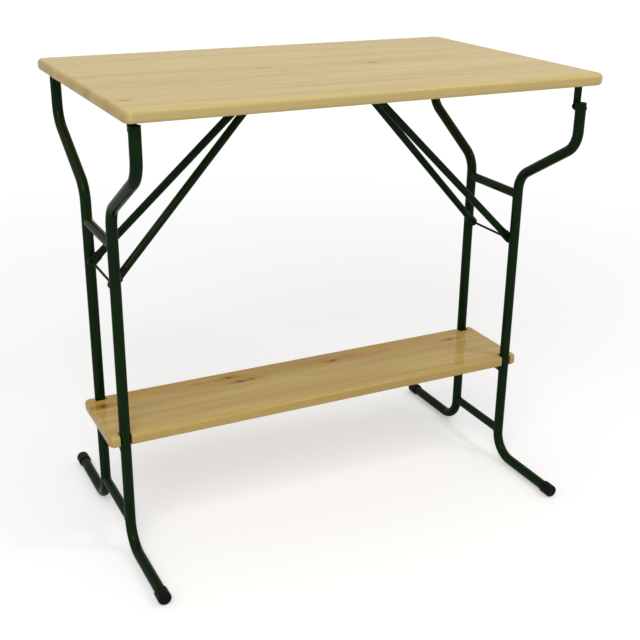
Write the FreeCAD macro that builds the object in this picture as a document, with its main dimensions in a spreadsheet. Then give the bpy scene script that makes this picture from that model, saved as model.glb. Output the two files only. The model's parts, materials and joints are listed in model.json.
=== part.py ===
import FreeCAD, Part
import math
import os

import Sketcher

# Folding bar table: lacquered pine top on two bent-tube leg frames, V struts, and a notched pine
# shelf that lies between the frames. Millimetres, +Z up, +X along the table, floor at Z 0.

V = FreeCAD.Vector
UP = V(0, 0, 1)
doc = FreeCAD.newDocument("FoldingBarTable")
sheet = doc.addObject("Spreadsheet::Sheet", "Params")

DIMENSIONS = [
    ("table_height", 1080, "floor to the top face"),
    ("top_length", 1104, "tabletop length"),
    ("top_width", 699, "tabletop width"),
    ("top_thickness", 27, "tabletop thickness"),
    ("top_corner", 20, "tabletop corner radius in plan"),
    ("top_round", 10, "tabletop edge rounding"),
    ("left_frame_x", 519.8, "left leg frame, distance from the middle"),
    ("right_frame_x", 523.4, "right leg frame, distance from the middle"),
    ("leg_od", 25, "leg tube outside diameter"),
    ("leg_wall", 1.5, "leg tube wall"),
    ("top_spacing", 616, "distance between the legs of a frame at the top"),
    ("waist_spacing", 207, "distance between the legs of a frame below the bends"),
    ("left_pivot_z", 1032, "left hinge axis height"),
    ("right_pivot_z", 999, "right hinge axis height"),
    ("tube_over_pivot", 11, "tube end above the hinge axis"),
    ("left_bend_z", 943, "left frame, upper bend corner"),
    ("right_bend_z", 910, "right frame, upper bend corner"),
    ("bend_drop", 118, "upper bend corner to lower bend corner"),
    ("bend_radius", 60, "centreline radius of the two upper bends"),
    ("foot_radius", 60, "centreline radius of the foot bend"),
    ("foot_z", 15.5, "height of the foot tube's axis"),
    ("foot_span", 684, "foot tube end to foot tube end"),
    ("bar_od", 22, "crossbar outside diameter"),
    ("bar_wall", 1.5, "crossbar wall"),
    ("left_upper_bar_z", 748, "left upper crossbar axis height"),
    ("right_upper_bar_z", 745.5, "right upper crossbar axis height"),
    ("support_bar_z", 263.6, "shelf support bar axis height"),
    ("left_lower_bar_z", 78, "left lower crossbar axis height"),
    ("right_lower_bar_z", 81, "right lower crossbar axis height"),
    ("weld_gap", 0.05, "gap at a coped tube end"),
    ("rod_d", 6, "strut rod diameter"),
    ("left_rod_z", 656, "left strut rod height"),
    ("right_rod_z", 623, "right strut rod height"),
    ("rod_hole_d", 6.1, "rod hole in tube and strut"),
    ("rod_overhang", 1.4, "rod end past the leg tube"),
    ("rod_cap", 2.4, "height of the cap on a rod end"),
    ("strut_od", 18, "strut tube diameter"),
    ("strut_wall", 1.2, "strut tube wall"),
    ("strut_tab", 6, "flattened strut end, thickness"),
    ("strut_eye", 11, "flattened strut end, radius of its eye"),
    ("strut_foot_y", 82.5, "strut end at the rod, distance from the middle"),
    ("strut_head_y", 16, "strut end at the catch, distance from the middle"),
    ("catch_z", 1036, "catch pin height"),
    ("left_catch_x", 138.4, "left catch pin, distance from the middle"),
    ("right_catch_x", 118.7, "right catch pin, distance from the middle"),
    ("catch_pin_d", 8, "catch pin diameter"),
    ("catch_slot", 9.5, "width of the slot that takes the catch pin"),
    ("catch_web", 5, "catch plate thickness"),
    ("catch_plate", 3, "catch base thickness"),
    ("catch_length", 84, "catch base length"),
    ("catch_width", 44, "catch base width"),
    ("catch_corner", 9, "catch base corner radius"),
    ("catch_nose", 5, "corner radius of the slotted catch plate"),
    ("hinge_plate", 4, "hinge bracket sheet thickness"),
    ("hinge_length", 52, "hinge base length"),
    ("hinge_depth", 44, "hinge base depth"),
    ("hinge_ear", 19, "hinge ear width"),
    ("hinge_gap", 0.6, "gap between hinge ear and tube"),
    ("hinge_bend", 3, "bend radius of the hinge sheet, outside"),
    ("hinge_corner", 7, "corner radius of the hinge base"),
    ("bolt_d", 8, "hinge bolt diameter"),
    ("bolt_hole_d", 8.2, "hinge bolt hole"),
    ("bolt_head_d", 13, "hinge bolt head diameter"),
    ("bolt_head", 1.8, "hinge bolt head height"),
    ("bolt_round", 1.4, "rounding of the hinge bolt head"),
    ("nut_flats", 13, "hinge nut across flats"),
    ("nut_height", 6.5, "hinge nut height"),
    ("screw_d", 4.5, "wood screw diameter"),
    ("screw_head_d", 8.5, "wood screw head diameter"),
    ("screw_head", 2.6, "wood screw head height"),
    ("screw_depth", 18, "wood screw length in the board"),
    ("cap_d", 31, "foot cap diameter"),
    ("cap_length", 34, "foot cap length"),
    ("cap_depth", 26, "foot cap socket depth"),
    ("cap_round", 6, "foot cap end rounding"),
    ("cap_lip", 1.2, "rounding of the foot cap mouth"),
    ("cap_fit", 0.05, "gap between foot cap and tube"),
    ("shelf_z", 301.8, "shelf top face height"),
    ("shelf_thickness", 27, "shelf thickness"),
    ("shelf_width", 226, "shelf width"),
    ("shelf_length", 1115, "shelf length"),
    ("shelf_round", 7, "shelf edge rounding"),
    ("shelf_corner", 14, "shelf corner radius in plan"),
    ("notch_width", 27, "shelf notch width"),
    ("notch_floor", 176.4, "distance between opposite notch floors"),
]
D = {}
for row, (alias, value, note) in enumerate(DIMENSIONS, start=1):
    sheet.set(f"A{row}", note)
    sheet.set(f"B{row}", str(value))
    sheet.setAlias(f"B{row}", alias)
    D[alias] = float(value)
doc.recompute()


def size(**terms):
    """A length as a sum of sheet cells, each times a factor: (expression, value in mm)."""
    expression = " + ".join(f"Params.{a} * ({k})" for a, k in terms.items())
    return expression, sum(D[a] * k for a, k in terms.items())


def new_body(label):
    body = doc.addObject("PartDesign::Body", label)
    body.Label = label
    return body


def sketch_on(body, role, name, offset=None):
    """A sketch on one of the body's own origin planes, moved along its normal by an offset."""
    sketch = body.newObject("Sketcher::SketchObject", name)
    plane = next(o for o in body.Origin.OriginFeatures if o.Role == role)
    sketch.AttachmentSupport = (plane, [""])
    sketch.MapMode = "FlatFace"
    if offset:
        sketch.AttachmentOffset = FreeCAD.Placement(V(0, 0, offset[1]), FreeCAD.Rotation())
        sketch.setExpression("AttachmentOffset.Base.z", offset[0])
    return sketch


def hold(sketch, kind, arguments, length):
    """Adds a dimension to a sketch and binds it to the sheet."""
    index = sketch.addConstraint(Sketcher.Constraint(kind, *arguments, length[1]))
    sketch.setExpression(f"Constraints[{index}]", length[0])


def pin_point(sketch, geometry, point, x=None, y=None):
    """Places a sketch point from the origin. A negative length is measured the other way round."""
    for kind, axis, length in (("DistanceX", -2, x), ("DistanceY", -1, y)):
        if length is None:
            continue
        if length == 0:
            sketch.addConstraint(Sketcher.Constraint("PointOnObject", geometry, point, axis))
        elif length[1] > 0:
            hold(sketch, kind, (-1, 1, geometry, point), length)
        else:
            hold(sketch, kind, (geometry, point, -1, 1), (f"-({length[0]})", -length[1]))


def number(length):
    return length[1] if length else 0.0


def circle(sketch, x, y, radius):
    index = sketch.addGeometry(Part.Circle(V(number(x), number(y), 0), UP, radius[1]))
    hold(sketch, "Radius", (index,), radius)
    pin_point(sketch, index, 3, x, y)


def oval(sketch, x, thin, tall):
    """An ellipse on the sketch's X axis, with its long diameter upright."""
    centre = V(x[1], 0, 0)
    long_end, short_end = centre + V(0, 0.5 * tall[1], 0), centre + V(0.5 * thin[1], 0, 0)
    index = sketch.addGeometry(Part.Ellipse(long_end, short_end, centre))
    sketch.exposeInternalGeometry(index)
    sketch.addConstraint(Sketcher.Constraint("Vertical", index + 1))
    hold(sketch, "Distance", (index + 1,), tall)
    hold(sketch, "Distance", (index + 2,), thin)
    pin_point(sketch, index, 3, x, 0)


def polygon(sketch, points):
    """A closed outline of straight lines between points given as pairs of lengths."""
    corners = [V(number(x), number(y), 0) for x, y in points]
    first = sketch.GeometryCount
    count = len(points)
    for i in range(count):
        sketch.addGeometry(Part.LineSegment(corners[i], corners[(i + 1) % count]))
    for i in range(count):
        nxt = first + (i + 1) % count
        sketch.addConstraint(Sketcher.Constraint("Coincident", first + i, 2, nxt, 1))
        pin_point(sketch, first + i, 1, *points[i])


def rectangle(sketch, x0, x1, y0, y1):
    polygon(sketch, [(x0, y0), (x1, y0), (x1, y1), (x0, y1)])


def pad(body, sketch, length, reverse=False, middle=False):
    feature = body.newObject("PartDesign::Pad", "Pad")
    feature.Profile = sketch
    feature.Length = length[1]
    feature.setExpression("Length", length[0])
    feature.Reversed = reverse
    feature.Midplane = middle
    sketch.Visibility = False
    doc.recompute()
    return feature


def pocket(body, sketch):
    """Cuts a sketch right through the body, both ways."""
    before = body.Shape.Volume
    feature = body.newObject("PartDesign::Pocket", "Pocket")
    feature.Profile = sketch
    feature.Type = "ThroughAll"
    feature.Midplane = True
    sketch.Visibility = False
    doc.recompute()
    if body.Shape.Volume >= before:
        raise RuntimeError(f"{body.Label}: the pocket cut nothing")
    return feature


def fillet(body, feature, wanted, radius):
    """Rounds the feature's edges that answer to a test."""
    names = [f"Edge{i}" for i, e in enumerate(feature.Shape.Edges, start=1) if wanted(e)]
    rounded = body.newObject("PartDesign::Fillet", "Fillet")
    rounded.Base = (feature, names)
    rounded.Radius = radius[1]
    rounded.setExpression("Radius", radius[0])
    feature.Visibility = False
    doc.recompute()
    return rounded


def is_upright(edge):
    a, b = edge.Vertexes[0].Point, edge.Vertexes[-1].Point
    return abs(a.x - b.x) < 1e-6 and abs(a.y - b.y) < 1e-6 and abs(a.z - b.z) > 1e-6


def lies_at(*heights):
    """A test for edges that lie flat at one of the given heights."""
    def test(edge):
        box = edge.BoundBox
        return any(abs(box.ZMin - z) < 1e-6 and abs(box.ZMax - z) < 1e-6 for z in heights)
    return test


def turned(x, y, z, degrees=0.0, axis=UP):
    return FreeCAD.Placement(V(x, y, z), FreeCAD.Rotation(axis, degrees))


def cylinder(name, radius, height, placement):
    solid = doc.addObject("Part::Cylinder", name)
    solid.Radius = radius[1]
    solid.setExpression("Radius", radius[0])
    solid.Height = height[1]
    solid.setExpression("Height", height[0])
    solid.Placement = placement
    return solid


def cone(name, wide, narrow, height, placement):
    solid = doc.addObject("Part::Cone", name)
    for key, value in (("Radius1", wide), ("Radius2", narrow), ("Height", height)):
        setattr(solid, key, value[1])
        solid.setExpression(key, value[0])
    solid.Placement = placement
    return solid


def fused(name, parts):
    joined = doc.addObject("Part::MultiFuse", name)
    joined.Shapes = parts
    return joined


def cut(name, base, tools):
    result = doc.addObject("Part::Cut", name)
    result.Base = base
    result.Tool = tools[0] if len(tools) == 1 else fused(name + "_tools", tools)
    result.Label = name
    return result


def compound(name, parts):
    group = doc.addObject("Part::Compound", name)
    group.Links = parts
    group.Label = name
    return group


# A cylinder turned by this lies along +Y.
ALONG_Y = (-90.0, V(1, 0, 0))
SIDES = {"left": -1, "right": 1}
ENDS = {"front": -1, "rear": 1}
FRAME_X = {"left": -D["left_frame_x"], "right": D["right_frame_x"]}
UNDERSIDE = D["table_height"] - D["top_thickness"]
# Hinge screws as shares of the base: along the board from the ear's outer side, and in from the tube.
HINGE_SCREW_X = (0.16, 0.84)
HINGE_SCREW_Y = (0.4, 0.78)
NODES = []


def keep(node):
    NODES.append(node)
    return node


def make_tabletop():
    body = new_body("tabletop")
    outline = sketch_on(body, "XY_Plane", "top_outline")
    half_x, half_y = size(top_length=0.5), size(top_width=0.5)
    rectangle(outline, size(top_length=-0.5), half_x, size(top_width=-0.5), half_y)
    board = pad(body, outline, size(top_thickness=1))
    corners = fillet(body, board, is_upright, size(top_corner=1))
    fillet(body, corners, lies_at(0.0, D["top_thickness"]), size(top_round=1))
    body.Placement = turned(0, 0, UNDERSIDE)
    return body


def make_shelf():
    """A board with rounded edges. The notches for the four leg tubes are sawn into it afterwards."""
    body = new_body("shelf")
    outline = sketch_on(body, "XY_Plane", "shelf_outline")
    left, right = size(shelf_length=-0.5), size(shelf_length=0.5)
    rectangle(outline, left, right, size(shelf_width=-0.5), size(shelf_width=0.5))
    board = pad(body, outline, size(shelf_thickness=1))
    corners = fillet(body, board, is_upright, size(shelf_corner=1))
    fillet(body, corners, lies_at(0.0, D["shelf_thickness"]), size(shelf_round=1))
    notches = sketch_on(body, "XY_Plane", "notches")
    for side, sign in SIDES.items():
        cell = {f"{side}_frame_x": sign}
        low, high = size(**cell, notch_width=-0.5), size(**cell, notch_width=0.5)
        for end in ENDS.values():
            floor, edge = size(notch_floor=0.5 * end), size(shelf_width=0.6 * end)
            rectangle(notches, low, high, floor, edge)
    pocket(body, notches)
    body.Placement = turned(0, 0, D["shelf_z"] - D["shelf_thickness"])
    return body


def bent_path(sketch, points, radii):
    """Straight runs joined by tangent arcs. Returns the indices of the straight runs."""
    starts = [points[0]]
    ends = []
    arcs = []
    for i, radius in enumerate(radii, start=1):
        back = (points[i - 1] - points[i]).normalize()
        ahead = (points[i + 1] - points[i]).normalize()
        half = back.getAngle(ahead) / 2
        reach = radius[1] / math.tan(half)
        centre = points[i] + (back + ahead).normalize() * (radius[1] / math.sin(half))
        ends.append(points[i] + back * reach)
        starts.append(points[i] + ahead * reach)
        forward = ahead.cross(back).z > 0
        first, last = (ends[-1], starts[-1]) if forward else (starts[-1], ends[-1])
        low = math.atan2(first.y - centre.y, first.x - centre.x)
        sweep = math.pi - 2 * half
        arcs.append((forward, Part.ArcOfCircle(Part.Circle(centre, UP, radius[1]), low, low + sweep)))
    ends.append(points[-1])
    runs = [sketch.addGeometry(Part.LineSegment(a, b)) for a, b in zip(starts, ends)]
    for i, (forward, arc) in enumerate(arcs):
        index = sketch.addGeometry(arc)
        near, far = (1, 2) if forward else (2, 1)
        sketch.addConstraint(Sketcher.Constraint("Tangent", runs[i], 2, index, near))
        sketch.addConstraint(Sketcher.Constraint("Tangent", index, far, runs[i + 1], 1))
        hold(sketch, "Radius", (index,), radii[i])
    return runs


def make_leg(side, end):
    """One bent tube. It is drawn as a rear leg and turned half round for a front one."""
    body = new_body(f"{side}_{end}_leg")
    pivot, bend, rod = f"{side}_pivot_z", f"{side}_bend_z", f"{side}_rod_z"
    wide, waist = size(top_spacing=0.5), size(waist_spacing=0.5)
    head = size(**{pivot: 1}, tube_over_pivot=1)
    high, low = size(**{bend: 1}), size(**{bend: 1}, bend_drop=-1)
    foot, tip = size(foot_z=1), size(foot_span=0.5)
    corners = [(wide, head), (wide, high), (waist, low), (waist, foot), (tip, foot)]
    spine = sketch_on(body, "YZ_Plane", "spine")
    points = [V(y[1], z[1], 0) for y, z in corners]
    turns = [size(bend_radius=1), size(bend_radius=1), size(foot_radius=1)]
    top, slope, shank, sole = bent_path(spine, points, turns)
    spine.addConstraint(Sketcher.Constraint("Vertical", top))
    spine.addConstraint(Sketcher.Constraint("Vertical", shank))
    spine.addConstraint(Sketcher.Constraint("Horizontal", sole))
    pin_point(spine, top, 1, wide, head)
    pin_point(spine, shank, 1, waist)
    pin_point(spine, sole, 2, tip, foot)
    for run, corner in ((top, 1), (shank, 2)):
        mark = spine.addGeometry(Part.Point(points[corner]), True)
        spine.addConstraint(Sketcher.Constraint("PointOnObject", mark, 1, run))
        spine.addConstraint(Sketcher.Constraint("PointOnObject", mark, 1, slope))
        pin_point(spine, mark, 1, None, corners[corner][1])
    for kind, radius in (("Additive", size(leg_od=0.5)), ("Subtractive", size(leg_od=0.5, leg_wall=-1))):
        ring = sketch_on(body, "XY_Plane", kind.lower() + "_section", head)
        circle(ring, 0, wide, radius)
        sweep = body.newObject(f"PartDesign::{kind}Pipe", kind + "Tube")
        sweep.Profile = ring
        sweep.Spine = (spine, [])
        ring.Visibility = False
        doc.recompute()
    holes = sketch_on(body, "XZ_Plane", "holes")
    circle(holes, 0, size(**{pivot: 1}), size(bolt_hole_d=0.5))
    circle(holes, 0, size(**{rod: 1}), size(rod_hole_d=0.5))
    pocket(body, holes)
    spine.Visibility = False
    body.Placement = turned(FRAME_X[side], 0, 0, 180.0 if end == "front" else 0.0)
    return body


def make_crossbar(name, side, height):
    """A tube coped to the two legs of a frame."""
    half = 0.5 * D["waist_spacing"]
    x = FRAME_X[side]
    span = size(waist_spacing=1)
    across = turned(x, -half, D[height], *ALONG_Y)
    outside = cylinder(f"{name}_outside", size(bar_od=0.5), span, across)
    bore = cylinder(f"{name}_bore", size(bar_od=0.5, bar_wall=-1), span, across)
    copes = []
    for end, sign in ENDS.items():
        cope = size(leg_od=0.5, weld_gap=1)
        place = turned(x, sign * half, D[height] - 2 * D["bar_od"])
        copes.append(cylinder(f"{name}_{end}_cope", cope, size(bar_od=4), place))
    return cut(name, outside, [bore, *copes])


def make_cap(side, end):
    """A rubber cup with a rounded end, pushed on the foot tube."""
    body = new_body(f"{side}_{end}_foot_cap")
    profile = sketch_on(body, "XY_Plane", "cap_section")
    wall, bore = size(cap_d=0.5), size(leg_od=0.5, cap_fit=1)
    depth, length = size(cap_depth=1), size(cap_length=1)
    polygon(profile, [(bore, 0), (wall, 0), (wall, length), (0, length), (0, depth), (bore, depth)])
    turn = body.newObject("PartDesign::Revolution", "Revolution")
    turn.Profile = profile
    turn.ReferenceAxis = (profile, ["V_Axis"])
    turn.Angle = 360.0
    profile.Visibility = False
    doc.recompute()

    def end_rim(edge):
        box = edge.BoundBox
        flat = abs(box.YMin - D["cap_length"]) < 1e-6 and abs(box.YMax - D["cap_length"]) < 1e-6
        return flat and edge.Curve.TypeId == "Part::GeomCircle"

    def mouth_rim(edge):
        box = edge.BoundBox
        return max(abs(box.YMin), abs(box.YMax)) < 1e-6 and abs(box.XMax - 0.5 * D["cap_d"]) < 1e-6

    nose = fillet(body, turn, end_rim, size(cap_round=1))
    fillet(body, nose, mouth_rim, size(cap_lip=1))
    start = 0.5 * D["foot_span"] - D["cap_depth"]
    sign = ENDS[end]
    body.Placement = turned(FRAME_X[side], sign * start, D["foot_z"], 180.0 if sign < 0 else 0.0)
    return body


def make_hinge(side, end):
    """A bent sheet bracket: a base that reaches inboard under the board, and an ear beside the tube."""
    body = new_body(f"{side}_{end}_hinge")
    pivot = f"{side}_pivot_z"
    drop = size(**{pivot: 1}, table_height=-1, top_thickness=1)
    near = size(leg_od=0.5, hinge_gap=1)
    far = size(leg_od=0.5, hinge_gap=1, hinge_depth=1)
    base = sketch_on(body, "XY_Plane", "base")
    inboard = SIDES[side] * ENDS[end]
    flush, free = size(hinge_ear=-0.5 * inboard), size(hinge_length=inboard, hinge_ear=-0.5 * inboard)
    rectangle(base, *((flush, free) if inboard > 0 else (free, flush)), near, far)
    for across in HINGE_SCREW_X:
        for along in HINGE_SCREW_Y:
            aside = size(hinge_length=across * inboard, hinge_ear=-0.5 * inboard)
            middle = size(leg_od=0.5, hinge_gap=1, hinge_depth=along)
            circle(base, aside, middle, size(screw_d=0.5, weld_gap=2))
    plate = pad(body, base, size(hinge_plate=1), reverse=True)

    def free_corner(edge):
        return is_upright(edge) and abs(edge.Vertexes[0].Y - far[1]) < 1e-6

    fillet(body, plate, free_corner, size(hinge_corner=1))
    lugs = sketch_on(body, "XZ_Plane", "ear", size(leg_od=-0.5, hinge_gap=-1))
    half, eye = 0.5 * D["hinge_ear"], V(0, drop[1], 0)
    sides = [Part.LineSegment(V(-half, 0, 0), V(-half, drop[1], 0)),
             Part.LineSegment(V(half, drop[1], 0), V(half, 0, 0)),
             Part.LineSegment(V(half, 0, 0), V(-half, 0, 0))]
    for line in sides:
        lugs.addGeometry(line)
    tip = lugs.addGeometry(Part.ArcOfCircle(Part.Circle(eye, UP, half), math.pi, 2 * math.pi))
    lugs.addConstraint(Sketcher.Constraint("Tangent", 0, 2, tip, 1))
    lugs.addConstraint(Sketcher.Constraint("Tangent", tip, 2, 1, 1))
    lugs.addConstraint(Sketcher.Constraint("Coincident", 1, 2, 2, 1))
    lugs.addConstraint(Sketcher.Constraint("Coincident", 2, 2, 0, 1))
    lugs.addConstraint(Sketcher.Constraint("PointOnObject", 0, 1, -1))
    lugs.addConstraint(Sketcher.Constraint("Horizontal", 2))
    lugs.addConstraint(Sketcher.Constraint("Vertical", 0))
    hold(lugs, "Radius", (tip,), size(hinge_ear=0.5))
    pin_point(lugs, tip, 3, 0, drop)
    circle(lugs, 0, drop, size(bolt_hole_d=0.5))
    ear = pad(body, lugs, size(hinge_plate=1), reverse=True)

    def outer_bend(edge):
        box = edge.BoundBox
        flat = max(abs(box.YMin - near[1]), abs(box.YMax - near[1]), abs(box.ZMin), abs(box.ZMax))
        return flat < 1e-6

    fillet(body, ear, outer_bend, size(hinge_bend=1))
    place = turned(FRAME_X[side], ENDS[end] * 0.5 * D["top_spacing"], UNDERSIDE)
    if end == "rear":
        place.Rotation = FreeCAD.Rotation(UP, 180.0)
    body.Placement = place
    return body


def make_hinge_fasteners():
    """Round-headed bolts through tube and ear, their nuts, and the screws that hold the brackets."""
    bolts, nuts, screws = [], [], []
    reach = size(leg_od=1, hinge_gap=2, hinge_plate=1, nut_height=1)
    for side, sx in SIDES.items():
        for end, sy in ENDS.items():
            tag = f"{side}_{end}"
            x, z = FRAME_X[side], D[f"{side}_pivot_z"]
            y_leg = 0.5 * D["top_spacing"]
            outer = y_leg + 0.5 * D["leg_od"] + D["hinge_gap"]
            inward = ALONG_Y if sy < 0 else (90.0, V(1, 0, 0))
            bolts.append(make_bolt(f"{tag}_bolt", reach, turned(x, sy * outer, z, 0 if sy < 0 else 180.0)))
            nut_y = sy * (y_leg - 0.5 * D["leg_od"] - D["hinge_gap"] - D["hinge_plate"])
            prism = doc.addObject("Part::Prism", f"{tag}_nut_body")
            prism.Polygon = 6
            prism.Circumradius = D["nut_flats"] / math.sqrt(3)
            prism.setExpression("Circumradius", "Params.nut_flats / sqrt(3)")
            prism.Height = D["nut_height"]
            prism.setExpression("Height", "Params.nut_height")
            prism.Placement = turned(x, nut_y, z, *inward)
            thread = cylinder(f"{tag}_thread", size(bolt_d=0.5, weld_gap=1), size(nut_height=1),
                              prism.Placement)
            nuts.append(cut(f"{tag}_nut", prism, [thread]))
            for across in HINGE_SCREW_X:
                for along in HINGE_SCREW_Y:
                    aside = across * D["hinge_length"] - 0.5 * D["hinge_ear"]
                    depth = 0.5 * D["leg_od"] + D["hinge_gap"] + along * D["hinge_depth"]
                    place = (x - sx * aside, sy * (y_leg - depth))
                    screws.append(make_screw(f"{tag}_screw_{len(screws)}", *place, D["hinge_plate"]))
    return [compound("hinge_bolts", bolts), compound("hinge_nuts", nuts),
            compound("hinge_screws", screws)]


def make_bolt(name, reach, place):
    """A bolt with a low round head, turned from one profile. Its shank runs along +Y from under the head."""
    body = new_body(name)
    profile = sketch_on(body, "XY_Plane", "bolt_section")
    wide, slim = size(bolt_head_d=0.5), size(bolt_d=0.5)
    top = size(bolt_head=-1)
    polygon(profile, [(0, top), (wide, top), (wide, 0), (slim, 0), (slim, reach), (0, reach)])
    turn = body.newObject("PartDesign::Revolution", "Revolution")
    turn.Profile = profile
    turn.ReferenceAxis = (profile, ["V_Axis"])
    turn.Angle = 360.0
    profile.Visibility = False
    doc.recompute()

    def crown(edge):
        box = edge.BoundBox
        return abs(box.YMax + D["bolt_head"]) < 1e-6 and edge.Curve.TypeId == "Part::GeomCircle"

    fillet(body, turn, crown, size(bolt_round=1))
    body.Placement = place
    return body


def make_screw(name, x, y, plate):
    """A pan-headed wood screw driven up through a plate into the board."""
    head_z = UNDERSIDE - plate - D["screw_head"]
    head = cylinder(name + "_head", size(screw_head_d=0.5), size(screw_head=1), turned(x, y, head_z))
    length = size(screw_depth=1)
    shank = cylinder(name + "_shank", size(screw_d=0.5), length, turned(x, y, UNDERSIDE - plate))
    return fused(name, [head, shank])


def strut_angle(side):
    """Angle of a strut about +Y, from its rod to its catch pin, and its length."""
    across = SIDES[side] * D[f"{side}_catch_x"] - FRAME_X[side]
    rise = D["catch_z"] - D[f"{side}_rod_z"]
    return -math.degrees(math.atan2(rise, across)), math.hypot(across, rise)


def make_strut(side, end):
    """A tube flattened at both ends, with an eye in each flat. It runs along the body's +X."""
    body = new_body(f"{side}_{end}_strut")
    angle, length = strut_angle(side)
    sign = ENDS[end]
    foot_y, head_y = size(strut_foot_y=sign), size(strut_head_y=sign)
    flat_long, taper = 16.0, 46.0

    def axis_y(along):
        share = min(max((along - flat_long) / (length - 2 * flat_long), 0.0), 1.0)
        return {"strut_foot_y": sign * (1 - share), "strut_head_y": sign * share}

    round_at = (taper, length - taper)
    sections = []
    for i, along in enumerate((flat_long, round_at[0], round_at[1], length - flat_long)):
        ring = sketch_on(body, "YZ_Plane", f"section_{i}", (str(along), along))
        middle = size(**axis_y(along))
        if along in round_at:
            thin, tall = size(strut_od=1), size(strut_od=1, weld_gap=1)
        else:
            thin, tall = size(strut_tab=0.88), size(strut_eye=1.9)
        oval(ring, middle, thin, tall)
        sections.append(ring)
    loft = body.newObject("PartDesign::AdditiveLoft", "Loft")
    loft.Profile = sections[0]
    loft.Sections = sections[1:]
    loft.Ruled = True
    doc.recompute()
    rings = []
    for i, along in enumerate(round_at):
        ring = sketch_on(body, "YZ_Plane", f"bore_{i}", (str(along), along))
        circle(ring, size(**axis_y(along)), 0, size(strut_od=0.5, strut_wall=-1))
        rings.append(ring)
    hollow = body.newObject("PartDesign::SubtractiveLoft", "Hollow")
    hollow.Profile = rings[0]
    hollow.Sections = rings[1:]
    hollow.Ruled = True
    for ring in sections + rings:
        ring.Visibility = False
    doc.recompute()
    for at, y in ((0.0, foot_y), (length, head_y)):
        eye = sketch_on(body, "XZ_Plane", "eye", (f"-({y[0]})", -y[1]))
        inner = flat_long + 6.0 if at == 0.0 else length - flat_long - 6.0
        hole = size(rod_hole_d=0.5) if at == 0.0 else size(catch_pin_d=0.5, weld_gap=1)
        tall = D["strut_eye"]
        low, high = (math.pi / 2, 3 * math.pi / 2) if at == 0.0 else (-math.pi / 2, math.pi / 2)
        tip = eye.addGeometry(Part.ArcOfCircle(Part.Circle(V(at, 0, 0), UP, tall), low, high))
        top = eye.addGeometry(Part.LineSegment(V(at, tall, 0), V(inner, tall, 0)))
        back = eye.addGeometry(Part.LineSegment(V(inner, tall, 0), V(inner, -tall, 0)))
        base = eye.addGeometry(Part.LineSegment(V(inner, -tall, 0), V(at, -tall, 0)))
        upper, lower = (1, 2) if at == 0.0 else (2, 1)
        eye.addConstraint(Sketcher.Constraint("Tangent", tip, upper, top, 1))
        eye.addConstraint(Sketcher.Constraint("Coincident", top, 2, back, 1))
        eye.addConstraint(Sketcher.Constraint("Coincident", back, 2, base, 1))
        eye.addConstraint(Sketcher.Constraint("Tangent", base, 2, tip, lower))
        eye.addConstraint(Sketcher.Constraint("Vertical", back))
        hold(eye, "Radius", (tip,), size(strut_eye=1))
        bore = eye.addGeometry(Part.Circle(V(at, 0, 0), UP, hole[1]))
        hold(eye, "Radius", (bore,), hole)
        eye.addConstraint(Sketcher.Constraint("Coincident", bore, 3, tip, 3))
        pad(body, eye, size(strut_tab=1), middle=True)
    body.Placement = turned(FRAME_X[side], 0, D[f"{side}_rod_z"], angle, V(0, 1, 0))
    return body


def make_strut_pin(side):
    """The cross pin that joins the two strut heads and sits in the catch."""
    x, z = SIDES[side] * D[f"{side}_catch_x"], D["catch_z"]
    half = D["strut_head_y"] + 0.5 * D["strut_tab"]
    head_half = half + 3.0
    pin = cylinder(f"{side}_pin_core", size(catch_pin_d=0.5), size(strut_head_y=2, strut_tab=1),
                   turned(x, -half, z, *ALONG_Y))
    parts = [pin]
    for end, start in (("front", -head_half), ("rear", half)):
        parts.append(cylinder(f"{side}_pin_{end}_head", size(catch_pin_d=0.8), size(strut_tab=0.5),
                              turned(x, start, z, *ALONG_Y)))
    pin = fused(f"{side}_strut_pin", parts)
    pin.Label = f"{side}_strut_pin"
    return pin


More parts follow.
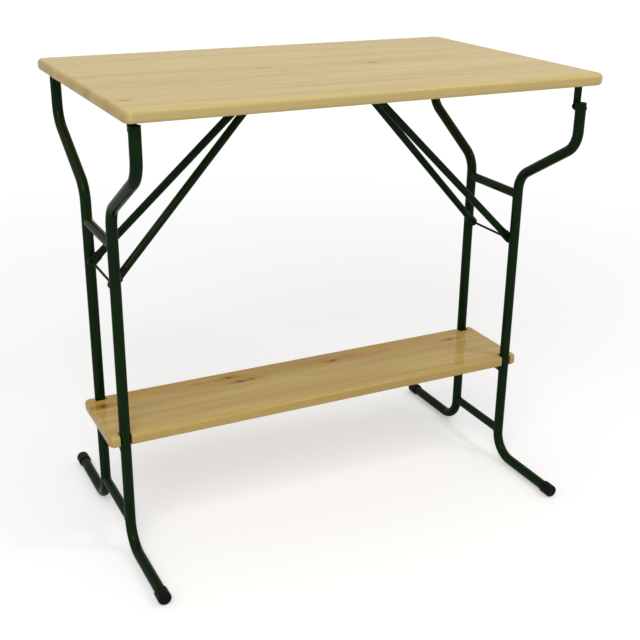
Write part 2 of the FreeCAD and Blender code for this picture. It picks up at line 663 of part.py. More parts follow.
def make_catch(side):
    """A plate bracket under the board. Its slot opens the way the pin leaves when the strut drops."""
    body = new_body(f"{side}_catch")
    x, drop = SIDES[side] * D[f"{side}_catch_x"], size(catch_z=1, table_height=-1, top_thickness=1)
    angle, _ = strut_angle(side)
    base = sketch_on(body, "XY_Plane", "base")
    rectangle(base, size(catch_length=-0.5), size(catch_length=0.5),
              size(catch_width=-0.5), size(catch_width=0.5))
    corners = ((-0.4, -0.32), (-0.4, 0.32), (0.4, -0.32), (0.4, 0.32))
    for dx, dy in corners:
        circle(base, size(catch_length=dx), size(catch_width=dy), size(screw_d=0.5, weld_gap=2))
    plate = pad(body, base, size(catch_plate=1), reverse=True)

    def plan_corner(edge):
        return is_upright(edge) and abs(abs(edge.Vertexes[0].X) - 0.5 * D["catch_length"]) < 1e-6

    fillet(body, plate, plan_corner, size(catch_corner=1))
    web = sketch_on(body, "XZ_Plane", "slotted_plate")
    low = size(catch_z=1, table_height=-1, top_thickness=1, catch_slot=-1.7)
    rectangle(web, size(catch_slot=-2.5), size(catch_slot=2.5), low, 0)
    upright = pad(body, web, size(catch_web=1), middle=True)

    def nose(edge):
        a, b = edge.Vertexes[0].Point, edge.Vertexes[-1].Point
        return abs(a.z - low[1]) < 1e-6 and abs(b.z - low[1]) < 1e-6 and abs(a.x - b.x) < 1e-6

    fillet(body, upright, nose, size(catch_nose=1))
    seat = sketch_on(body, "XZ_Plane", "slot_seat")
    circle(seat, 0, drop, size(catch_slot=0.5))
    pocket(body, seat)
    mouth = sketch_on(body, "XZ_Plane", "slot_mouth")
    leave = math.radians(-angle - 90.0 if side == "left" else -angle + 90.0)
    ahead, aside = V(math.cos(leave), math.sin(leave), 0), V(-math.sin(leave), math.cos(leave), 0)
    steps = ((0, -0.5), (4, -0.5), (4, 0.5), (0, 0.5))
    points = [ahead * k + aside * half for k, half in steps]
    polygon(mouth, [(size(catch_slot=p.x), size(catch_z=1, table_height=-1, top_thickness=1, catch_slot=p.y))
                    for p in points])
    pocket(body, mouth)
    body.Placement = turned(x, 0, UNDERSIDE)
    screws = [make_screw(f"{side}_catch_screw_{i}", x + dx * D["catch_length"], dy * D["catch_width"],
                         D["catch_plate"]) for i, (dx, dy) in enumerate(corners)]
    return body, screws


def make_rod(side):
    """The thin rod through both leg tubes, on which the two strut feet turn."""
    half = 0.5 * D["waist_spacing"] + 0.5 * D["leg_od"] + D["rod_overhang"]
    length = size(waist_spacing=1, leg_od=1, rod_overhang=2)
    rod = cylinder(f"{side}_strut_rod", size(rod_d=0.5), length,
                   turned(FRAME_X[side], -half, D[f"{side}_rod_z"], *ALONG_Y))
    rod.Label = f"{side}_strut_rod"
    return rod


def make_rod_fasteners():
    """Spacers between strut feet and tubes, and low caps pressed on the rod's ends."""
    spacers, caps = [], []
    for side in SIDES:
        x, z = FRAME_X[side], D[f"{side}_rod_z"]
        inner = D["strut_foot_y"] + 0.5 * D["strut_tab"] + 6 * D["weld_gap"]
        outer = 0.5 * D["waist_spacing"] + 0.5 * D["leg_od"] + 2 * D["weld_gap"]
        for end, sy in ENDS.items():
            tag = f"{side}_{end}"
            way = ALONG_Y if sy > 0 else (90.0, V(1, 0, 0))
            place = turned(x, sy * inner, z, *way)
            thick = size(waist_spacing=0.5, leg_od=-0.5, strut_foot_y=-1, strut_tab=-0.5, weld_gap=-10)
            ring = cylinder(f"{tag}_spacer_ring", size(rod_d=1), thick, place)
            bore = cylinder(f"{tag}_spacer_bore", size(rod_d=0.5, weld_gap=1), size(rod_d=2), place)
            spacers.append(cut(f"{tag}_spacer", ring, [bore]))
            end_place = turned(x, sy * outer, z, *way)
            dome = cone(f"{tag}_dome", size(rod_d=0.9), size(rod_d=0.55), size(rod_cap=1), end_place)
            socket = cylinder(f"{tag}_socket", size(rod_d=0.5, weld_gap=1), size(rod_overhang=1), end_place)
            caps.append(cut(f"{tag}_rod_cap", dome, [socket]))
    return [compound("rod_spacers", spacers), compound("rod_caps", caps)]


def build():
    keep(make_tabletop())
    keep(make_shelf())
    catch_screws = []
    for side in SIDES:
        for end in ENDS:
            keep(make_leg(side, end))
            keep(make_cap(side, end))
            keep(make_hinge(side, end))
            keep(make_strut(side, end))
        for name, height in (("upper_crossbar", f"{side}_upper_bar_z"), ("shelf_support_bar", "support_bar_z"),
                             ("lower_crossbar", f"{side}_lower_bar_z")):
            keep(make_crossbar(f"{side}_{name}", side, height))
        keep(make_strut_pin(side))
        bracket, screws = make_catch(side)
        keep(bracket)
        catch_screws += screws
        keep(make_rod(side))
    for node in make_hinge_fasteners() + make_rod_fasteners():
        keep(node)
    keep(compound("catch_screws", catch_screws))
    doc.recompute()


build()
faults = [o.Label for o in doc.Objects if "Invalid" in o.State or "Error" in o.State]
faults += [n.Label for n in NODES if n.Shape.isNull() or not n.Shape.isValid() or not n.Shape.Solids]
if faults:
    raise RuntimeError("faulty objects: " + ", ".join(faults))
os.makedirs("parts", exist_ok=True)
for node in NODES:
    node.Shape.exportStep(f"parts/{node.Label}.step")
    print(node.Label, len(node.Shape.Solids), round(node.Shape.Volume / 1000.0, 1), "cm3")
print(len(NODES), "nodes")
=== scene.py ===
import json
import math
import random

import bmesh
import bpy
from mathutils import Matrix, Vector


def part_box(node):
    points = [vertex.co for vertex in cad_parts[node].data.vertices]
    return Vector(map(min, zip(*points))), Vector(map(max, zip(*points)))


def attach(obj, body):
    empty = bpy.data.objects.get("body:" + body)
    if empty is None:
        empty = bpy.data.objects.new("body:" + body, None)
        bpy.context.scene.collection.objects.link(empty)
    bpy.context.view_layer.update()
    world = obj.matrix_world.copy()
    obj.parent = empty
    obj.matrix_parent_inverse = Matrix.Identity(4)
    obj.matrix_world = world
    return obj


# Folding bar table: lacquered pine top and shelf on green bent-tube leg frames. Metres, +Z up.

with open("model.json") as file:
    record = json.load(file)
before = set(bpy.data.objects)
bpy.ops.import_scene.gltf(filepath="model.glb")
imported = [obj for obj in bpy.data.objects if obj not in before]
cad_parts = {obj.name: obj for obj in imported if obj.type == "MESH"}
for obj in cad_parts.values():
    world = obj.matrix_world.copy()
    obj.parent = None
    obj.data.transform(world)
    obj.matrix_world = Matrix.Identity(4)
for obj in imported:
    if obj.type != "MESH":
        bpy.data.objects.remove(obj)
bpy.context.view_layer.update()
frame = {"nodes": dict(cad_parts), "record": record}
NODES = frame["nodes"]
SIDES = ("left", "right")
ENDS = {"front": -1.0, "rear": 1.0}
BARS = ("upper_crossbar", "shelf_support_bar", "lower_crossbar")
random.seed(7)


class Graph:
    """A node tree, with short calls for the nodes that the finishes and the studio share."""

    # The sockets of a Mix node that are for colours.
    COLOUR_A, COLOUR_B, COLOUR_RESULT = 6, 7, 2

    def __init__(self, tree):
        self.tree = tree

    def add(self, kind, **settings):
        node = self.tree.nodes.new(kind)
        for key, value in settings.items():
            setattr(node, key, value)
        return node

    def put(self, socket, value):
        """Links an output to a socket, or sets a plain value on it."""
        if isinstance(value, bpy.types.NodeSocket):
            self.tree.links.new(value, socket)
        else:
            socket.default_value = value

    def place(self):
        """The point in the table's frame, as the piece carries it."""
        return self.add("ShaderNodeTexCoord").outputs["Object"]

    def normal(self):
        return self.add("ShaderNodeTexCoord").outputs["Normal"]

    def split(self, vector):
        node = self.add("ShaderNodeSeparateXYZ")
        self.put(node.inputs[0], vector)
        return node.outputs[0], node.outputs[1], node.outputs[2]

    def join(self, x, y, z):
        node = self.add("ShaderNodeCombineXYZ")
        for socket, value in zip(node.inputs, (x, y, z)):
            self.put(socket, value)
        return node.outputs[0]

    def math(self, operation, *values):
        node = self.add("ShaderNodeMath", operation=operation)
        for socket, value in zip(node.inputs, values):
            self.put(socket, value)
        return node.outputs[0]

    def plus(self, first, second):
        return self.math("ADD", first, second)

    def minus(self, first, second):
        return self.math("SUBTRACT", first, second)

    def times(self, first, second):
        return self.math("MULTIPLY", first, second)

    def over(self, first, second):
        return self.math("DIVIDE", first, second)

    def largest(self, values):
        result = values[0]
        for value in values[1:]:
            result = self.math("MAXIMUM", result, value)
        return result

    def length(self, vector):
        node = self.add("ShaderNodeVectorMath", operation="LENGTH")
        self.put(node.inputs[0], vector)
        return node.outputs["Value"]

    def scaled(self, vector, scale):
        node = self.add("ShaderNodeVectorMath", operation="MULTIPLY")
        self.put(node.inputs[0], vector)
        node.inputs[1].default_value = scale
        return node.outputs[0]

    def noise(self, vector, scale=1.0, detail=2.0, roughness=0.5):
        node = self.add("ShaderNodeTexNoise")
        self.put(node.inputs["Vector"], vector)
        node.inputs["Scale"].default_value = scale
        node.inputs["Detail"].default_value = detail
        node.inputs["Roughness"].default_value = roughness
        return node.outputs["Fac"]

    def chance(self, number):
        """Three random shares that belong to a whole number."""
        node = self.add("ShaderNodeTexWhiteNoise", noise_dimensions="1D")
        self.put(node.inputs["W"], number)
        split = self.add("ShaderNodeSeparateColor")
        self.put(split.inputs[0], node.outputs["Color"])
        return split.outputs[0], split.outputs[1], split.outputs[2]

    def ramp(self, value, low, high, start=0.0, end=1.0, smooth=True):
        node = self.add("ShaderNodeMapRange")
        node.interpolation_type = "SMOOTHSTEP" if smooth else "LINEAR"
        for name, number in (("Value", value), ("From Min", low), ("From Max", high),
                             ("To Min", start), ("To Max", end)):
            self.put(node.inputs[name], number)
        return node.outputs[0]

    def mix(self, share, first, second, blend="MIX"):
        node = self.add("ShaderNodeMix", data_type="RGBA", blend_type=blend)
        self.put(node.inputs[0], share)
        self.put(node.inputs[self.COLOUR_A], first)
        self.put(node.inputs[self.COLOUR_B], second)
        return node.outputs[self.COLOUR_RESULT]

    def filtered(self, tint, through):
        """A colour times another one."""
        return self.mix(1.0, tint, through, "MULTIPLY")

    def shade(self, tint, factor):
        """A colour times a share that varies over the surface."""
        return self.filtered(tint, self.join(factor, factor, factor))

    def direct_share(self):
        """1 for a ray that shows the surroundings as they are: straight, mirrored or through glass."""
        path = self.add("ShaderNodeLightPath")
        rays = ("Is Camera Ray", "Is Glossy Ray", "Is Transmission Ray")
        return self.largest([path.outputs[ray] for ray in rays])


class Finish(Graph):
    """A material with one shader."""

    def __init__(self, name):
        self.material = bpy.data.materials.new(name)
        self.material.use_nodes = True
        super().__init__(self.material.node_tree)
        self.tree.nodes.clear()
        self.shader = self.add("ShaderNodeBsdfPrincipled")
        output = self.add("ShaderNodeOutputMaterial")
        self.put(output.inputs["Surface"], self.shader.outputs[0])

    def set(self, name, value):
        self.put(self.shader.inputs[name], value)

    def bump(self, height, strength, distance):
        node = self.add("ShaderNodeBump")
        node.inputs["Strength"].default_value = strength
        node.inputs["Distance"].default_value = distance
        self.put(node.inputs["Height"], height)
        self.set("Normal", node.outputs[0])


def colour(red, green, blue):
    """A display colour, 0 to 255, as linear light."""
    def linear(value):
        value /= 255.0
        return value / 12.92 if value <= 0.04045 else ((value + 0.055) / 1.055) ** 2.4
    return (linear(red), linear(green), linear(blue), 1.0)


def grey(level):
    return (level, level, level, 1.0)


# The range that holds most of a noise's values.
NOISE_SPREAD = (0.3, 0.7)

# Growth rings of the pine. Each board has its pith at a chance place across its width and below it.
RING_WIDTH = 0.0052
RING_WANDER = 0.011
RING_WANDER_RANGE = (0.2, 0.8)
RING_SWELL_AT_KNOT = 0.006
LATE_WOOD_RISE = (0.15, 0.80)
LATE_WOOD_FALL = (0.84, 1.0)
PITH_ACROSS = (0.1, 0.9)
PITH_BELOW = (0.03, 0.10)
# How fine the patterns of the grain are, along a board and across it, and how boards differ.
DRIFT_SCALE = (1.1, 9.0)
DRIFT_SHIFT = 40.0
STREAK_SCALE = (1.5, 24.0)
STREAK_RANGE = (0.40, 0.70)
VEIN_SCALE = (1.1, 95.0)
VEIN_RANGE = (0.45, 0.75)
BOARD_SHIFT = 30.0
BOARD_SHADE = (0.96, 1.03)
FIBRE_SCALE = (9.0, 700.0)
FIBRE_SHADE = (0.98, 1.018)
ROSY = (1.02, 0.975, 0.94, 1.0)
ROSY_SHARE = 0.8
# Knots, resin and glue lines. Distances from a knot are in its own half length and half width.
KNOT_RAGGEDNESS = 0.35
HEART = colour(104, 58, 8)
HEART_EDGE = (0.25, 1.1)
HEART_SHARE = 0.85
HEART_COAT_SHARE = 0.4
HEART_ROUGHNESS = 0.08
FLAME = colour(160, 106, 24)
FLAME_EDGE = (0.6, 2.3)
FLAME_SHARE = 0.7
FLAME_STRETCH = 0.3
RESIN = colour(120, 100, 70)
FLECK_CORE_LENGTH = 0.4
FLECK_CORE_WIDTH = 0.3
GLUE = colour(150, 118, 70)
GLUE_SHARE = 0.2
GLUE_LINE_HALF = 0.0007
# The warm board at the back of the shelf, end grain, lacquer and relief.
WARM = (0.95, 0.80, 0.52, 1.0)
WARM_SHARE = (0.40, 1.0)
WARM_CLOUD_SCALE = (5.0, 16.0, 16.0)
WARM_CLOUD_RANGE = (0.35, 0.75)
WARM_EDGE_HALF = 0.0006
END_GRAIN = (0.75, 0.66, 0.55, 1.0)
END_GRAIN_SHARE = (0.55, 1.0)
END_GRAIN_FACING = (0.25, 0.95)
END_GRAIN_RANGE = (0.30, 0.72)
LACQUER_ROUGHNESS = 0.11
WOOD_SPECULAR = 0.004
LATE_WOOD_RAISED = 0.3
FIBRE_RAISED = 0.4
GLUE_SUNK = 0.9


def knot_shares(g, x, y, knots):
    """Where the knots are: their dark hearts and the flames of resin along the grain, as two shares."""
    rough = g.noise(g.place(), scale=210.0)
    ragged_edge = g.ramp(rough, *NOISE_SPREAD, -KNOT_RAGGEDNESS, KNOT_RAGGEDNESS)
    hearts = []
    flames = []
    for at_x, at_y, half_x, half_y, depth in knots:
        away_x = g.over(g.minus(x, at_x), half_x)
        away_y = g.over(g.minus(y, at_y), half_y)
        square_x = g.times(away_x, away_x)
        square_y = g.times(away_y, away_y)
        round_away = g.math("SQRT", g.plus(square_x, square_y))
        long_away = g.math("SQRT", g.math("MULTIPLY_ADD", square_x, FLAME_STRETCH, square_y))
        hearts.append(g.ramp(g.plus(round_away, ragged_edge), *HEART_EDGE, depth, 0.0))
        flames.append(g.ramp(g.plus(long_away, ragged_edge), *FLAME_EDGE, depth, 0.0))
    return g.largest(hearts), g.largest(flames)


def fleck_share(g, x, y, flecks):
    """Short resin streaks along the grain, soft at their ends and sides."""
    marks = []
    for at_x, at_y, half_x, half_y, weight in flecks:
        away_x = g.math("ABSOLUTE", g.minus(x, at_x))
        away_y = g.math("ABSOLUTE", g.minus(y, at_y))
        near_x = g.ramp(away_x, FLECK_CORE_LENGTH * half_x, half_x, 1.0, 0.0)
        near_y = g.ramp(away_y, FLECK_CORE_WIDTH * half_y, half_y, 1.0, 0.0)
        marks.append(g.times(g.times(near_x, near_y), weight))
    return g.largest(marks)


def along_grain(g, point, scale, shift=0.0):
    """The point, scaled along and across the grain and shifted along it."""
    x, y, z = point
    lengthwise, crosswise = scale
    along = g.math("MULTIPLY_ADD", x, lengthwise, shift)
    return g.join(along, g.times(y, crosswise), g.times(z, crosswise))


def late_wood_share(g, point, board, share, chances, flame):
    """The dark part of each growth ring. The rings run about a board's pith and swell at its knots."""
    board_width, _, underside = board
    chance_a, chance_b, chance_c = chances
    drift = g.noise(along_grain(g, point, DRIFT_SCALE, g.times(chance_c, DRIFT_SHIFT)))
    wander = g.ramp(drift, *RING_WANDER_RANGE, -RING_WANDER, RING_WANDER, smooth=False)
    beside = g.times(g.minus(share, g.ramp(chance_a, 0.0, 1.0, *PITH_ACROSS)), board_width)
    above = g.plus(g.minus(point[2], underside), g.ramp(chance_b, 0.0, 1.0, *PITH_BELOW))
    radius = g.math("SQRT", g.plus(g.times(beside, beside), g.times(above, above)))
    swollen = g.math("MULTIPLY_ADD", flame, RING_SWELL_AT_KNOT, g.plus(radius, wander))
    ring = g.math("FRACT", g.over(swollen, RING_WIDTH))
    return g.times(g.ramp(ring, *LATE_WOOD_RISE), g.ramp(ring, *LATE_WOOD_FALL, 1.0, 0.0))


def end_grain_share(g):
    """Blotches on the surfaces that cut across the grain."""
    facing = g.math("ABSOLUTE", g.split(g.normal())[0])
    cloud = g.noise(g.place(), scale=19.0, detail=1.5)
    blotch = g.ramp(cloud, *END_GRAIN_RANGE, *END_GRAIN_SHARE)
    return g.times(g.ramp(facing, *END_GRAIN_FACING), blotch)


def pine(name, board, pale, late, ring_share, streak_share, coat, roughness, seed, knots, flecks,
         warm_from=None):
    """Edge-glued boards along X: growth rings, glue lines, knots and lacquer.

    The board is its width, the Y of its first edge and the Z of its underside. Behind warm_from the
    wood is warmer, and the knots end at that glue line.
    """
    g = Finish(name)
    point = g.split(g.place())
    x, y, _ = point
    board_width, first_edge, _ = board
    across = g.over(g.minus(y, first_edge), board_width)
    row = g.math("FLOOR", across)
    share = g.minus(across, row)
    chances = g.chance(g.plus(row, seed))
    chance_a, chance_b, chance_c = chances
    heart, flame = knot_shares(g, x, y, knots)
    if warm_from is not None:
        behind = g.ramp(y, warm_from - WARM_EDGE_HALF, warm_from + WARM_EDGE_HALF)
        heart = g.times(heart, behind)
        flame = g.times(flame, behind)

    late_wood = late_wood_share(g, point, board, share, chances, flame)
    streak = g.noise(along_grain(g, point, STREAK_SCALE, g.times(chance_a, BOARD_SHIFT)), detail=1.5)
    vein = g.noise(along_grain(g, point, VEIN_SCALE, g.times(chance_b, BOARD_SHIFT)))
    fibre = g.noise(along_grain(g, point, FIBRE_SCALE), detail=3.0, roughness=0.6)
    tint = g.mix(g.times(late_wood, ring_share), pale, late)
    tint = g.mix(g.ramp(streak, *STREAK_RANGE, 0.0, streak_share), tint, late)
    tint = g.mix(g.ramp(vein, *VEIN_RANGE, 0.0, 0.5 * streak_share), tint, late)
    tint = g.shade(tint, g.ramp(fibre, *NOISE_SPREAD, *FIBRE_SHADE))
    tint = g.shade(tint, g.ramp(chance_b, 0.0, 1.0, *BOARD_SHADE))
    tint = g.mix(g.times(chance_c, ROSY_SHARE), tint, g.filtered(tint, ROSY))
    if warm_from is not None:
        cloud = g.noise(g.scaled(g.place(), WARM_CLOUD_SCALE))
        patch = g.ramp(cloud, *WARM_CLOUD_RANGE, *WARM_SHARE)
        tint = g.mix(g.times(behind, patch), tint, g.filtered(tint, WARM))
    tint = g.mix(g.times(flame, FLAME_SHARE), tint, FLAME)
    tint = g.mix(g.times(heart, HEART_SHARE), tint, HEART)
    seam = g.math("MINIMUM", share, g.minus(1.0, share))
    seam = g.ramp(seam, 0.0, GLUE_LINE_HALF / board_width, 1.0, 0.0)
    tint = g.mix(g.times(seam, GLUE_SHARE), tint, GLUE)
    tint = g.mix(fleck_share(g, x, y, flecks), tint, RESIN)
    tint = g.mix(end_grain_share(g), tint, g.filtered(tint, END_GRAIN))

    g.set("Base Color", tint)
    g.set("Roughness", g.plus(g.ramp(fibre, *NOISE_SPREAD, *roughness), g.times(heart, HEART_ROUGHNESS)))
    g.set("Specular IOR Level", WOOD_SPECULAR)
    g.set("Coat Weight", g.ramp(heart, 0.0, 1.0, coat, HEART_COAT_SHARE * coat))
    g.set("Coat Roughness", LACQUER_ROUGHNESS)
    raised = g.math("MULTIPLY_ADD", late_wood, LATE_WOOD_RAISED, g.times(fibre, FIBRE_RAISED))
    g.bump(g.minus(raised, g.times(seam, GLUE_SUNK)), strength=0.08, distance=0.0004)
    return g.material


# Green paint, with dust and a painted warm sheen where it looks up, most of all high on the frames:
# partly dust, partly a painted reflection of the pine top's underside.
PAINT_DARK = colour(8, 30, 6)
PAINT_LIGHT = colour(12, 38, 9)
PAINT_ROUGHNESS = (0.20, 0.27)
SCUFF = colour(62, 74, 56)
SCUFF_SHARE = 0.22
SCUFF_ROUGHNESS = 0.2
SCUFF_SCALE = (60.0, 60.0, 300.0)
DUST_AND_SHEEN = colour(88, 80, 46)
DUST_AND_SHEEN_SHARE = 0.10
DUST_AND_SHEEN_LOW_SHARE = 0.25
DUST_AND_SHEEN_HEIGHT = (0.3, 0.7)


def green_paint(name):
    """Dark green gloss paint on steel: orange peel, a drift in tone, fine scuffs, faint dust and a
    painted sheen on top.
    """
    g = Finish(name)
    place = g.place()
    cloud = g.noise(place, scale=5.0)
    tint = g.mix(g.ramp(cloud, *NOISE_SPREAD), PAINT_DARK, PAINT_LIGHT)
    scratch = g.noise(g.scaled(place, SCUFF_SCALE), detail=3.0, roughness=0.65)
    worn = g.noise(place, scale=11.0)
    scuff = g.times(g.ramp(scratch, low=0.70, high=0.78), g.ramp(worn, low=0.55, high=0.72))
    tint = g.mix(g.times(scuff, SCUFF_SHARE), tint, SCUFF)
    # Painted reflection: a warm olive tint on faces that look up, strongest high under the top, stands
    # partly for the pine underside's reflection and partly for dust.
    upward = g.ramp(g.split(g.normal())[2], low=0.1, high=0.8, end=DUST_AND_SHEEN_SHARE)
    high_up_dust_and_sheen = g.ramp(g.split(place)[2], *DUST_AND_SHEEN_HEIGHT, start=DUST_AND_SHEEN_LOW_SHARE)
    tint = g.mix(g.times(upward, high_up_dust_and_sheen), tint, DUST_AND_SHEEN)
    g.set("Base Color", tint)
    speck = g.ramp(g.noise(place, scale=130.0), *NOISE_SPREAD, *PAINT_ROUGHNESS)
    g.set("Roughness", g.plus(speck, g.times(scuff, SCUFF_ROUGHNESS)))
    g.set("Specular IOR Level", 0.008)
    g.set("Coat Weight", 0.11)
    g.set("Coat Roughness", 0.10)
    g.bump(g.noise(place, scale=380.0, detail=1.0), strength=0.05, distance=0.0005)
    return g.material


def rubber(name):
    """Moulded black rubber, dull, with a dusty bloom."""
    g = Finish(name)
    place = g.place()
    black = colour(10, 8, 6)
    dusty = colour(24, 20, 16)
    bloom = g.ramp(g.noise(place, scale=60.0, detail=3.0), low=0.4, high=0.75, end=0.4)
    g.set("Base Color", g.mix(bloom, black, dusty))
    g.set("Roughness", g.ramp(g.noise(place, scale=300.0), *NOISE_SPREAD, start=0.46, end=0.62))
    g.set("Specular IOR Level", 0.08)
    g.bump(g.noise(place, scale=900.0), strength=0.12, distance=0.0004)
    return g.material


def zinc(name):
    """Zinc-plated steel: pale grey with a faint yellow cloud, brushed."""
    g = Finish(name)
    place = g.place()
    pale = colour(186, 186, 182)
    yellowish = colour(166, 164, 150)
    brush_scale = (90.0, 1400.0, 1400.0)
    cloud = g.ramp(g.noise(place, scale=45.0, detail=3.0), low=0.35, high=0.7)
    g.set("Base Color", g.mix(cloud, pale, yellowish))
    g.set("Metallic", 1.0)
    brushed = g.noise(g.scaled(place, brush_scale))
    g.set("Roughness", g.ramp(brushed, *NOISE_SPREAD, start=0.28, end=0.46))
    g.bump(brushed, strength=0.05, distance=0.0003)
    return g.material


TOP_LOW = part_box("tabletop")[0]
SHELF_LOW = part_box("shelf")[0]
TOP_BOARD_WIDTH = 0.100
SHELF_BOARD_WIDTH = 0.077
TOP_BOARD = (TOP_BOARD_WIDTH, float(TOP_LOW[1]), float(TOP_LOW[2]))
SHELF_BOARD = (SHELF_BOARD_WIDTH, float(SHELF_LOW[1]), float(SHELF_LOW[2]))
# Each knot or fleck: its place on the board, half its length and width, and how dark it is.
TOP_KNOTS = [(-0.520, -0.253, 0.007, 0.006, 0.55), (-0.123, 0.010, 0.010, 0.008, 0.25),
             (0.147, -0.013, 0.011, 0.009, 0.4), (-0.089, -0.041, 0.012, 0.008, 0.15),
             (-0.141, -0.227, 0.007, 0.006, 0.22), (-0.113, -0.238, 0.006, 0.005, 0.18),
             (0.218, -0.227, 0.007, 0.006, 0.18), (-0.512, 0.018, 0.010, 0.008, 0.2)]
SHELF_KNOTS = [(-0.526, 0.054, 0.014, 0.010, 1.0), (-0.195, 0.077, 0.010, 0.007, 0.95),
               (-0.174, 0.045, 0.017, 0.008, 0.75), (-0.145, 0.048, 0.013, 0.006, 0.6),
               (-0.281, 0.075, 0.011, 0.006, 0.4), (-0.230, 0.076, 0.008, 0.006, 0.3),
               (0.092, 0.061, 0.010, 0.006, 0.95), (0.152, 0.066, 0.016, 0.009, 0.2),
               (0.452, 0.053, 0.011, 0.007, 0.85)]
TOP_FLECKS = [(0.202, 0.113, 0.070, 0.012, 0.10), (0.416, -0.275, 0.030, 0.016, 0.12)]
SHELF_FLECKS = [(0.238, 0.059, 0.036, 0.004, 0.30), (0.523, 0.044, 0.024, 0.003, 0.35)]
TOP_PINE = pine("pine_top", TOP_BOARD, pale=colour(208, 187, 127), late=colour(181, 153, 94),
                ring_share=0.18, streak_share=0.32, coat=0.16, roughness=(0.22, 0.30), seed=11.0,
                knots=TOP_KNOTS, flecks=TOP_FLECKS)
SHELF_PINE = pine("pine_shelf", SHELF_BOARD, pale=colour(201, 175, 106), late=colour(169, 136, 72),
                  ring_share=0.22, streak_share=0.38, coat=0.40, roughness=(0.14, 0.22), seed=31.0,
                  knots=SHELF_KNOTS, flecks=SHELF_FLECKS, warm_from=0.038)
GREEN = green_paint("green_paint")
RUBBER = rubber("foot_rubber")
ZINC = zinc("zinc_steel")
FINISHES = {"pine": TOP_PINE, "green_paint": GREEN, "foot_rubber": RUBBER, "zinc_steel": ZINC}

for entry in frame["record"]["subparts"]:
    node = NODES[entry["node"]]
    finish = SHELF_PINE if entry["node"] == "shelf" else FINISHES[entry["material_slot"]]
    node.data.materials.clear()
    node.data.materials.append(finish)


def add_piece(name, mesh, finish):
    """Turns a finished bmesh into a smooth-shaded piece that is carried by the leg frames."""
    bmesh.ops.recalc_face_normals(mesh, faces=mesh.faces)
    data = bpy.data.meshes.new(name)
    mesh.to_mesh(data)
    mesh.free()
    data.shade_smooth()
    data.materials.append(finish)
    piece = bpy.data.objects.new(name, data)
    bpy.context.collection.objects.link(piece)
    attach(piece, "frame")


def solids(node):
    """The separate solids of a node, from left to right, each as its corner points."""
    mesh = bmesh.new()
    mesh.from_mesh(NODES[node].data)
    bmesh.ops.remove_doubles(mesh, verts=mesh.verts, dist=1e-6)
    waiting = set(mesh.verts)
    found = []
    while waiting:
        front = [waiting.pop()]
        points = []
        while front:
            corner = front.pop()
            points.append(corner.co.copy())
            linked = {edge.other_vert(corner) for edge in corner.link_edges} & waiting
            waiting -= linked
            front.extend(linked)
        found.append(points)
    mesh.free()

    def middle(points):
        return [round(sum(axis) / len(points), 4) for axis in zip(*points)]

    return sorted(found, key=middle)


def close_rings(mesh, rings, loop):
    """Skins a row of vertex rings. A loop joins the last to the first, else both ends are filled."""
    following = rings[1:] + rings[:1] if loop else rings[1:]
    for ring, other in zip(rings, following):
        count = len(ring)
        for k in range(count):
            mesh.faces.new((ring[k], ring[(k + 1) % count], other[(k + 1) % count], other[k]))
    if not loop:
        mesh.faces.new(rings[0])
        mesh.faces.new(rings[-1])


# Weld beads. The swell of a ripple and of the sway are shares of the radius.
WELD_RADIUS = 0.0017
WELD_THIN_SHARE = 0.84
WELD_RIPPLES = 24
WELD_RIPPLE_SHARE = 0.22
WELD_SWAYS = 3.0
WELD_SWAY_SHARE = 0.06
WELD_STEPS = 144
WELD_SIDES = 10


def weld_bead(name, bar, leg, sign):
    """A rippled fillet weld, all round the saddle where a crossbar meets its leg tube."""
    bar_low, bar_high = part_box(bar)
    leg_low, leg_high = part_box(leg)
    bar_x = 0.5 * (bar_low[0] + bar_high[0])
    bar_z = 0.5 * (bar_low[2] + bar_high[2])
    bar_radius = 0.5 * (bar_high[2] - bar_low[2])
    leg_radius = 0.5 * (leg_high[0] - leg_low[0])
    leg_y = bar_high[1] + math.sqrt(leg_radius ** 2 - bar_radius ** 2)

    def root(turn):
        """The point of the saddle at an angle about the bar."""
        x = bar_radius * math.cos(turn)
        z = bar_radius * math.sin(turn)
        return Vector((bar_x + x, sign * (leg_y - math.sqrt(leg_radius ** 2 - x ** 2)), bar_z + z))

    mesh = bmesh.new()
    rings = []
    start = random.random()
    nudge = 0.01
    for step in range(WELD_STEPS):
        turn = 2.0 * math.pi * step / WELD_STEPS
        middle = root(turn)
        along = (root(turn + nudge) - root(turn - nudge)).normalized()
        out = Vector((math.cos(turn), 0.0, math.sin(turn)))
        out = (out - along * out.dot(along)).normalized()
        aside = along.cross(out)
        ripple = (WELD_RIPPLES * step / WELD_STEPS + start) % 1.0
        sway = math.sin(WELD_SWAYS * turn + 6.0 * start)
        radius = WELD_RADIUS * (WELD_THIN_SHARE + WELD_RIPPLE_SHARE * ripple + WELD_SWAY_SHARE * sway)
        ring = []
        for k in range(WELD_SIDES):
            angle = 2.0 * math.pi * k / WELD_SIDES
            outward = out * math.cos(angle) + aside * math.sin(angle)
            ring.append(mesh.verts.new(middle + radius * outward))
        rings.append(ring)
    close_rings(mesh, rings, loop=True)
    add_piece(name, mesh, GREEN)


# Screw heads. Rings and recess are shares of the head's radius.
HEAD_SEGMENTS = 56
HEAD_CROWN = 0.0012
HEAD_SKIRT = 0.00012
HEAD_OVERLAP = 0.001
HEAD_LIFT = 0.00008
HEAD_RINGS = (0.94, 0.86, 0.76, 0.66, 0.58, 0.50, 0.42, 0.34, 0.26, 0.18, 0.10)
RECESS_ARM = 0.60
RECESS_SLIM = 0.14
RECESS_DEPTH = 0.8
RECESS_WALL_SLOPE = 0.5
RECESS_END_SLOPE = 0.3


def recess_share(u, v, arm, slim):
    """How deep a point of the head lies in the cross recess, 0 to 1, with sloped walls."""
    long_side = max(abs(u), abs(v))
    short_side = min(abs(u), abs(v))
    between_walls = (slim - short_side) / (RECESS_WALL_SLOPE * slim) + 0.5
    before_end = (arm - long_side) / (RECESS_END_SLOPE * arm)
    return min(1.0, max(0.0, between_walls)) * min(1.0, max(0.0, before_end))


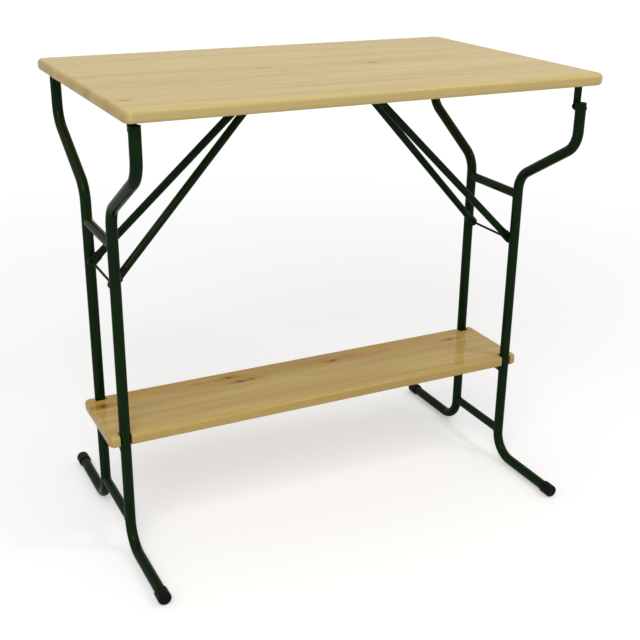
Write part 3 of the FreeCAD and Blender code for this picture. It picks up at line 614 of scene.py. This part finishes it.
def screw_heads(name, node):
    """Pan heads with a cross recess, each a crown on the plain head of a screw in the node."""
    mesh = bmesh.new()
    collar = [(1.0, HEAD_OVERLAP), (1.0, 0.0)]
    crown = [(share, None) for share in HEAD_RINGS]
    for points in solids(node):
        low = min(p.z for p in points)
        rim = [p for p in points if p.z < low + 1e-5]
        at_x = 0.5 * (min(p.x for p in rim) + max(p.x for p in rim))
        at_y = 0.5 * (min(p.y for p in rim) + max(p.y for p in rim))
        reach = 0.5 * (max(p.x for p in rim) - min(p.x for p in rim))
        slant = random.uniform(0.0, math.pi)
        rings = []
        for share, height in collar + crown:
            radius = (reach + HEAD_SKIRT) * share
            ring = []
            for k in range(HEAD_SEGMENTS):
                angle = 2.0 * math.pi * k / HEAD_SEGMENTS
                u = radius * math.cos(angle)
                v = radius * math.sin(angle)
                drop = height
                if height is None:
                    inside = recess_share(u, v, RECESS_ARM * reach, RECESS_SLIM * reach)
                    dome = HEAD_CROWN * math.sqrt(1.0 - share ** 2)
                    drop = -dome * (1.0 - RECESS_DEPTH * inside) - HEAD_LIFT
                x = at_x + u * math.cos(slant) - v * math.sin(slant)
                y = at_y + u * math.sin(slant) + v * math.cos(slant)
                ring.append(mesh.verts.new((x, y, low + drop)))
            rings.append(ring)
        close_rings(mesh, rings, loop=False)
    add_piece(name, mesh, ZINC)


for side in SIDES:
    for bar in BARS:
        for end, sign in ENDS.items():
            weld_bead(f"{side}_{bar}_{end}_weld", f"{side}_{bar}", f"{side}_{end}_leg", sign)
screw_heads("hinge_screw_heads", "hinge_screws")
screw_heads("catch_screw_heads", "catch_screws")


# Studio. Glow and light run from near to far, and from the horizon to the zenith.
FLOOR_SIZE = 80.0
FLOOR_GAP = 0.0005
FLOOR_DARKER = grey(0.80)
FLOOR_LIGHTER = grey(0.82)
FLOOR_GLOW_REACH = (1.2, 5.0)
FLOOR_GLOW = (0.33, 0.53)
DOME_LIGHT = (0.50, 0.68)
DOME_SEEN = 1.0
AIM = Vector((0.0, 0.0, 0.6))
# Each lamp: its name, place, width and power in watts.
LAMPS = [("key", (-1.8, -2.6, 3.6), 2.6, 64.0), ("fill", (1.35, -1.1, 2.7), 0.5, 9.0)]


def studio_floor():
    """A white floor that keeps the table's shadow and grows brighter towards the horizon."""
    bpy.ops.mesh.primitive_plane_add(size=FLOOR_SIZE, location=(0, 0, -FLOOR_GAP))
    floor = bpy.context.object
    floor.name = "studio_floor"
    g = Finish("studio_floor")
    cloud = g.noise(g.place(), scale=0.4, detail=1.0)
    g.set("Base Color", g.mix(cloud, FLOOR_DARKER, FLOOR_LIGHTER))
    g.set("Roughness", 0.9)
    g.set("Specular IOR Level", 0.0)
    glow = g.ramp(g.length(g.place()), *FLOOR_GLOW_REACH, *FLOOR_GLOW)
    g.set("Emission Color", grey(1.0))
    g.set("Emission Strength", g.times(g.direct_share(), glow))
    floor.data.materials.append(g.material)


def studio_light():
    """White surroundings, a broad lamp from the front left and a small one above the front right."""
    world = bpy.data.worlds.new("studio")
    bpy.context.scene.world = world
    world.use_nodes = True
    g = Graph(world.node_tree)
    background = world.node_tree.nodes["Background"]
    g.put(background.inputs["Color"], grey(1.0))
    upward = g.split(g.add("ShaderNodeTexCoord").outputs["Generated"])[2]
    dome = g.ramp(upward, 0.0, 1.0, *DOME_LIGHT, smooth=False)
    level = g.ramp(g.direct_share(), 0.0, 1.0, dome, DOME_SEEN, smooth=False)
    g.put(background.inputs["Strength"], level)

    for name, place, width, watts in LAMPS:
        lamp = bpy.data.lights.new(name, "AREA")
        lamp.shape = "DISK"
        lamp.size = width
        lamp.energy = watts
        holder = bpy.data.objects.new(name, lamp)
        bpy.context.collection.objects.link(holder)
        holder.location = place
        holder.rotation_euler = (AIM - Vector(place)).to_track_quat("-Z", "Y").to_euler()


# The photograph's station point, its direction in degrees, and a lens for film 36 mm wide.
STATION = (-1.0823, -2.2037, 1.44842)
HEADING = 63.3667
PITCH = -22.0251
ROLL = 0.6964
FILM_WIDTH = 36.0
FOCAL_LENGTH = 59.70


def camera():
    """The photograph's camera, found from the outlines of the top, the legs and the shelf."""
    lens = bpy.data.cameras.new("photo")
    lens.sensor_width = FILM_WIDTH
    lens.lens = FOCAL_LENGTH
    holder = bpy.data.objects.new("photo", lens)
    bpy.context.collection.objects.link(holder)
    turn = Matrix.Rotation(math.radians(HEADING - 90.0), 4, "Z")
    turn = turn @ Matrix.Rotation(math.radians(PITCH + 90.0), 4, "X")
    turn = turn @ Matrix.Rotation(math.radians(ROLL), 4, "Z")
    holder.matrix_world = Matrix.Translation(STATION) @ turn
    bpy.context.scene.camera = holder


studio_floor()
studio_light()
camera()
bpy.context.scene.view_settings.view_transform = "Standard"
